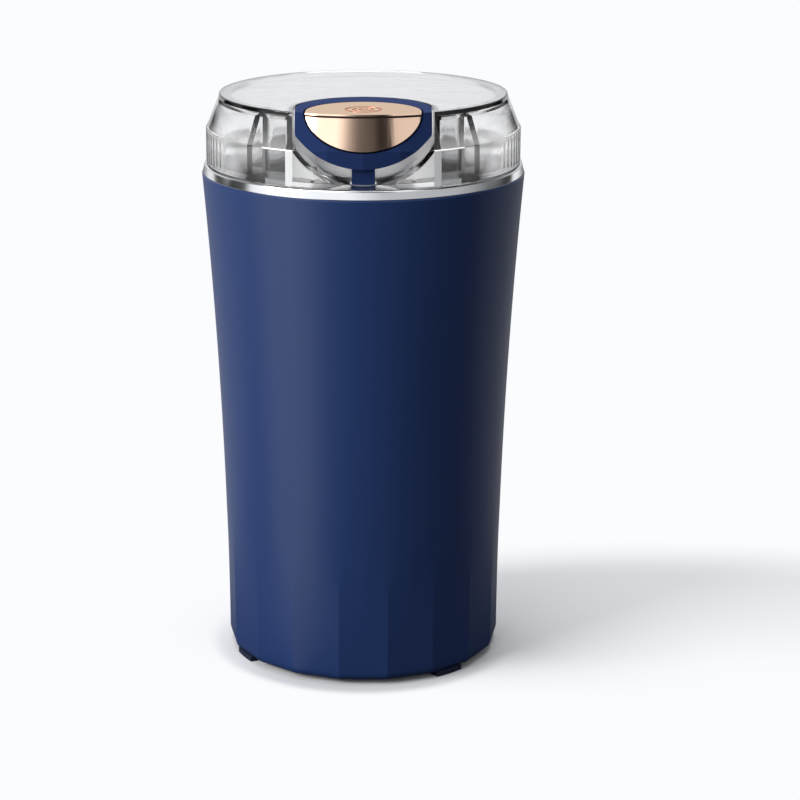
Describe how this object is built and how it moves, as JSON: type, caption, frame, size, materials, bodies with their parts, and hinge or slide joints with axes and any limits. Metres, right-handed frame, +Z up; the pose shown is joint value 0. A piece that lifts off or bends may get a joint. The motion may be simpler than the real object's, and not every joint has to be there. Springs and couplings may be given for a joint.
{
  "type": "electric spice grinder",
  "caption": "Compact electric spice grinder: navy housing with a faceted foot, bright ring, clear lid with a rose-gold button, steel bowl with a four-winged blade, motor and safety switch.",
  "frame": {"origin": "middle of the footprint, on the table", "axes": "+Z up; the button and the lid's open front face -Y; +X to the right seen from the front"},
  "size_m": [0.091, 0.091, 0.163],
  "materials": {
    "navy_body": "satin paint, faintly metallic",
    "navy_button": "satin gloss",
    "polished_ring": "polished",
    "bowl_steel": "fine turned brushing",
    "clear_plastic": "clear, glossy",
    "rose_gold": "polished and anodised rose gold",
    "black_plastic": "moulded, fine grain",
    "rubber": "matt",
    "silicone": "soft, translucent white",
    "white_plastic": "moulded",
    "sheet_steel": "pressed, zinc plated",
    "spring_steel": "drawn wire",
    "bearing_steel": "ground",
    "lamination_steel": "stacked sheets",
    "copper": "enamelled wire and turned copper",
    "brass": "pressed",
    "carbon": "pressed graphite",
    "capacitor_film": "moulded case",
    "fuse_sleeve": "woven sleeve",
    "red_plastic": "insulation and moulding"
  },
  "bodies": {
    "housing": {"body_shell": "navy_body", "trim_ring": "polished_ring", "top_deck": "black_plastic", "bowl_gasket": "rubber", "grinding_bowl": "bowl_steel", "shaft_seal": "rubber", "motor_carrier": "black_plastic", "carrier_screws": "sheet_steel", "mount_screws": "sheet_steel", "isolators": "rubber", "base_cover": "black_plastic", "base_screws": "sheet_steel", "foot_pads": "rubber", "cord_grommet": "rubber", "top_bracket": "sheet_steel", "bottom_bracket": "sheet_steel", "top_bearing": "bearing_steel", "bottom_bearing": "bearing_steel", "stator_core": "lamination_steel", "field_coils": "copper", "motor_screws": "sheet_steel", "brush_holders": "brass", "carbon_brushes": "carbon", "brush_springs": "spring_steel", "capacitor": "capacitor_film", "thermal_fuse": "fuse_sleeve", "lead_wires": "red_plastic", "push_rod_spring": "spring_steel", "switch_body": "black_plastic", "switch_terminals": "brass", "switch_screws": "sheet_steel", "lever_pin": "sheet_steel"},
    "rotor": {"motor_shaft": "bearing_steel", "armature_core": "lamination_steel", "armature_windings": "copper", "commutator": "copper", "cooling_fan": "black_plastic", "thrust_washers": "brass", "blade_hub": "bowl_steel", "blade": "bowl_steel", "blade_washer": "bowl_steel", "blade_nut": "bowl_steel"},
    "push_rod": {"push_rod": "white_plastic"},
    "switch_lever": {"switch_lever": "sheet_steel"},
    "switch_plunger": {"switch_plunger": "red_plastic"},
    "lid": {"lid_cover": "clear_plastic", "lid_top": "clear_plastic", "lid_skirt": "clear_plastic", "lid_seal": "silicone", "button_spring": "spring_steel"},
    "button": {"button_frame": "navy_button", "button_plate": "rose_gold"}
  },
  "joints": [
    {"name": "lid_lift", "type": "slide", "parent": "housing", "child": "lid", "axis": [0, 0, 1], "range_m": [0, 0.06]},
    {"name": "button_press", "type": "slide", "parent": "lid", "child": "button", "axis": [0, 0, -1], "range_m": [0, 0.002], "stiffness_N_per_m": 500, "springref_m": -0.004, "deforming": ["button_spring"]},
    {"name": "push_rod_slide", "type": "slide", "parent": "housing", "child": "push_rod", "axis": [0, 0, -1], "range_m": [0, 0.002], "deforming": ["push_rod_spring"]},
    {"name": "switch_lever_turn", "type": "hinge", "parent": "housing", "child": "switch_lever", "pos_m": [-0.0085, -0.0337, 0.0796], "axis": [0, 1, 0], "range_deg": [0, 9.5]},
    {"name": "switch_plunger_slide", "type": "slide", "parent": "housing", "child": "switch_plunger", "axis": [0, 0, -1], "range_m": [0, 0.001]},
    {"name": "rotor_spin", "type": "hinge", "parent": "housing", "child": "rotor", "pos_m": [0, 0, 0.045], "axis": [0, 0, 1], "continuous": true}
  ],
  "couplings": [
    {"joint": "push_rod_slide", "follows": "button_press", "ratio": 1},
    {"joint": "switch_lever_turn", "follows": "button_press", "rad_per_m": 80},
    {"joint": "switch_plunger_slide", "follows": "button_press", "ratio": 0.5}
  ]
}
